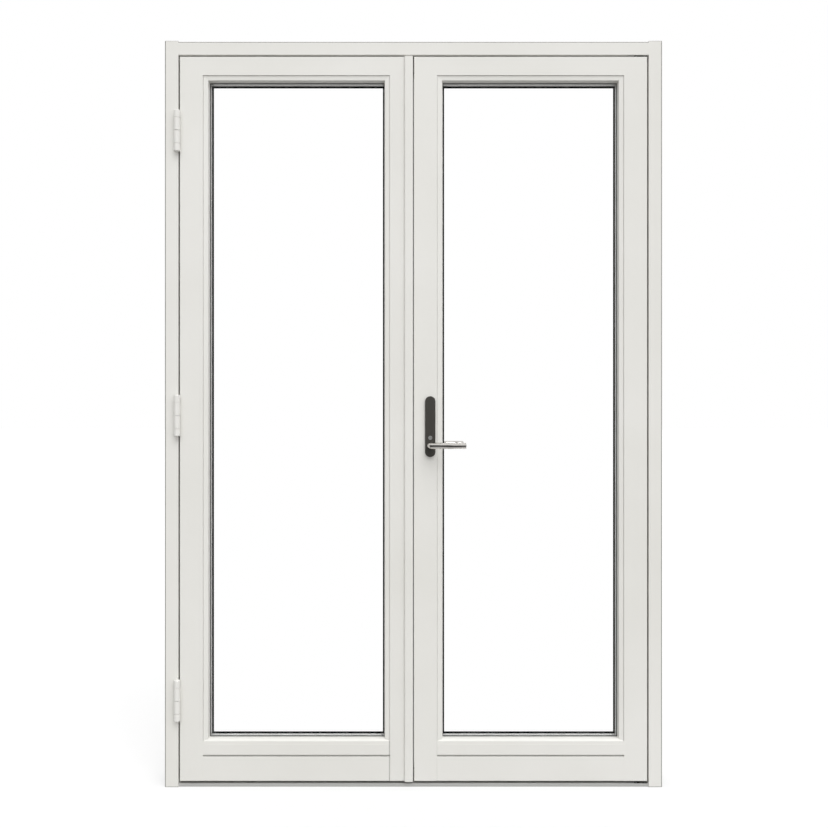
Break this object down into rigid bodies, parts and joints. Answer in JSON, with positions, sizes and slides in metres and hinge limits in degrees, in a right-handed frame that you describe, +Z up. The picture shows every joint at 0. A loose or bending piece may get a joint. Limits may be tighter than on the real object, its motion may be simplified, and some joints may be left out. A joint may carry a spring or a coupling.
{
  "type": "french doors",
  "caption": "White glazed timber french doors in their frame, with barrel hinges, a cover strip, a lever handle that drives shoot bolts, and a low aluminium threshold.",
  "frame": {"origin": "middle of the sill's underside, at the centre of the frame's width and depth", "axes": "+X along the wall to the right as seen from the front, +Y from the front face to the back, +Z up"},
  "size_m": [1.4, 0.1814, 2.1],
  "materials": {
    "painted_timber": "satin white paint",
    "sill_timber": "matt primer",
    "threshold_aluminium": "anodised, satin",
    "black_rubber": "matt",
    "clear_glass": "clear float",
    "spacer_aluminium": "mill, matt",
    "block_plastic": "moulded",
    "painted_hinge": "white powder coat",
    "dark_plate": "dark grey satin",
    "polished_lever": "polished",
    "bright_steel": "zinc plated"
  },
  "bodies": {
    "frame": {"left_jamb": "painted_timber", "right_jamb": "painted_timber", "head": "painted_timber", "side_stops": "painted_timber", "top_stop": "painted_timber", "sill_base": "sill_timber", "threshold_plate": "threshold_aluminium", "frame_seals": "black_rubber", "fixing_sleeves": "bright_steel", "head_keep": "bright_steel", "threshold_keep": "bright_steel", "leaf_pivots": "bright_steel", "lower_hinge_base": "painted_hinge", "middle_hinge_base": "painted_hinge", "upper_hinge_base": "painted_hinge", "hinge_pins": "bright_steel", "hinge_base_caps": "painted_hinge"},
    "left_leaf": {"left_hinge_stile": "painted_timber", "left_meeting_stile": "painted_timber", "left_top_rail": "painted_timber", "left_bottom_rail": "painted_timber", "left_side_beads": "painted_timber", "left_top_bead": "painted_timber", "left_bottom_bead": "painted_timber", "left_panes": "clear_glass", "left_spacer": "spacer_aluminium", "left_gaskets": "black_rubber", "left_glazing_blocks": "block_plastic", "cover_strip": "painted_timber", "meeting_seal": "black_rubber", "strike_plate": "bright_steel", "flush_bolt_cases": "bright_steel", "lower_hinge_sleeve": "painted_hinge", "middle_hinge_sleeve": "painted_hinge", "upper_hinge_sleeve": "painted_hinge", "hinge_sleeve_caps": "painted_hinge"},
    "right_leaf": {"right_hinge_stile": "painted_timber", "right_meeting_stile": "painted_timber", "right_top_rail": "painted_timber", "right_bottom_rail": "painted_timber", "right_side_beads": "painted_timber", "right_top_bead": "painted_timber", "right_bottom_bead": "painted_timber", "right_panes": "clear_glass", "right_spacer": "spacer_aluminium", "right_gaskets": "black_rubber", "right_glazing_blocks": "block_plastic", "lock_case": "bright_steel", "lock_faceplate": "bright_steel", "front_handle_plate": "dark_plate", "back_handle_plate": "dark_plate", "pivot_straps": "bright_steel"},
    "handle": {"front_lever": "polished_lever", "back_lever": "polished_lever", "handle_spindle": "bright_steel"},
    "top_shoot_bolt": {"top_shoot_bolt": "bright_steel"},
    "bottom_shoot_bolt": {"bottom_shoot_bolt": "bright_steel"},
    "centre_bolt": {"centre_bolt": "bright_steel"},
    "top_flush_bolt": {"top_flush_bolt": "bright_steel"},
    "bottom_flush_bolt": {"bottom_flush_bolt": "bright_steel"}
  },
  "joints": [
    {"name": "left_leaf_swing", "type": "hinge", "parent": "frame", "child": "left_leaf", "pos_m": [-0.663, -0.0625, 0], "axis": [0, 0, -1], "range_deg": [0, 170]},
    {"name": "right_leaf_swing", "type": "hinge", "parent": "frame", "child": "right_leaf", "pos_m": [0.641, -0.0425, 0], "axis": [0, 0, 1], "range_deg": [0, 110]},
    {"name": "handle_turn", "type": "hinge", "parent": "right_leaf", "child": "handle", "pos_m": [0.047, 0, 0.962], "axis": [0, 1, 0], "range_deg": [0, 90]},
    {"name": "top_shoot_bolt_slide", "type": "slide", "parent": "right_leaf", "child": "top_shoot_bolt", "axis": [0, 0, 1], "range_m": [0, 0.016]},
    {"name": "bottom_shoot_bolt_slide", "type": "slide", "parent": "right_leaf", "child": "bottom_shoot_bolt", "axis": [0, 0, -1], "range_m": [0, 0.016]},
    {"name": "centre_bolt_slide", "type": "slide", "parent": "right_leaf", "child": "centre_bolt", "axis": [-1, 0, 0], "range_m": [0, 0.015]},
    {"name": "top_flush_bolt_slide", "type": "slide", "parent": "left_leaf", "child": "top_flush_bolt", "axis": [0, 0, 1], "range_m": [0, 0.016]},
    {"name": "bottom_flush_bolt_slide", "type": "slide", "parent": "left_leaf", "child": "bottom_flush_bolt", "axis": [0, 0, -1], "range_m": [0, 0.016]}
  ],
  "couplings": [
    {"joint": "top_shoot_bolt_slide", "follows": "handle_turn", "m_per_rad": 0.010186},
    {"joint": "bottom_shoot_bolt_slide", "follows": "handle_turn", "m_per_rad": 0.010186},
    {"joint": "centre_bolt_slide", "follows": "handle_turn", "m_per_rad": 0.0095492}
  ]
}
